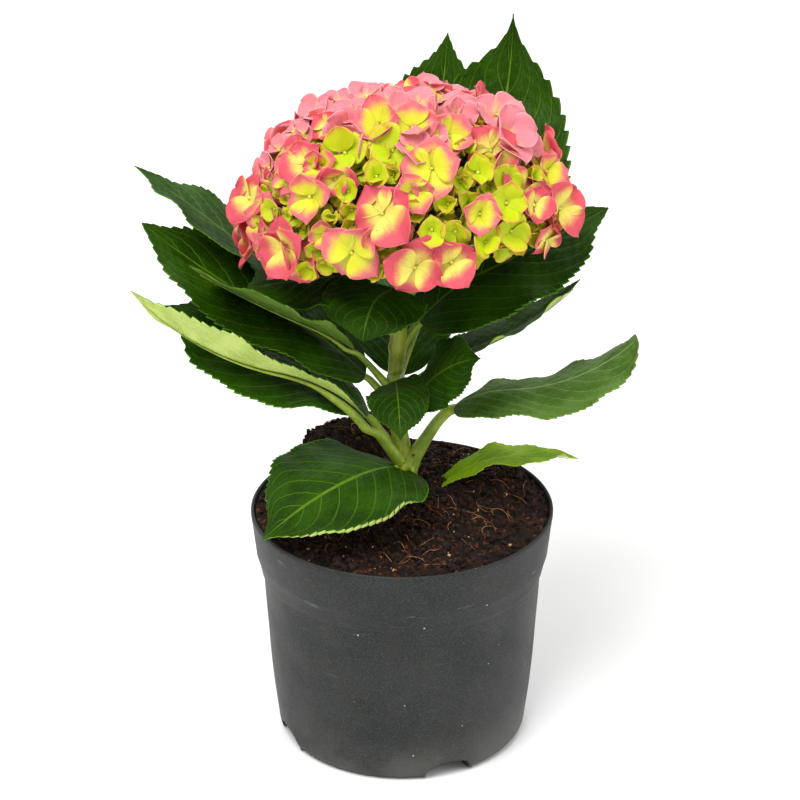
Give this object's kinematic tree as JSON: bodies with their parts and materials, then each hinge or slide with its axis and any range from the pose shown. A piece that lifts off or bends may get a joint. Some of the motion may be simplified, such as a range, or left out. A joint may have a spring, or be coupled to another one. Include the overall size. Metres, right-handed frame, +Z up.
{
  "type": "potted mophead hydrangea",
  "caption": "Small mophead hydrangea with broad serrated leaves and a pink and yellow-green flower head, in a round plastic nursery pot.",
  "frame": {"origin": "centre of the pot's flat underside", "axes": "+Z up along the pot's axis, -Y towards the front, +X to the right as seen from the front"},
  "size_m": [0.2476, 0.195, 0.3452],
  "materials": {
    "pot_plastic": "matt recycled plastic, lightly dusty and scuffed",
    "soil": "moist coarse coir compost",
    "stem": "smooth green stalk",
    "leaf": "satin leaf",
    "flower": "soft matt petals"
  },
  "bodies": {
    "root": {"pot": "pot_plastic", "soil": "soil", "main_stem": "stem", "leaf_upper_left": "leaf", "leaf_upper_right": "leaf", "leaf_middle_left_back": "leaf", "leaf_middle_left_front": "leaf", "leaf_middle_right": "leaf", "leaf_lower_left_folded": "leaf", "leaf_lower_left_wide": "leaf", "leaf_lower_right": "leaf", "leaf_over_rim": "leaf", "leaf_small_right": "leaf", "leaf_front_top": "leaf", "leaf_under_head": "leaf", "leaf_back_left": "leaf", "leaf_back_tall": "leaf", "leaf_inner_right": "leaf", "leaf_inner_front": "leaf", "leaf_back_middle": "leaf", "leaf_back_low": "leaf", "flower_head": "flower"}
  },
  "joints": []
}
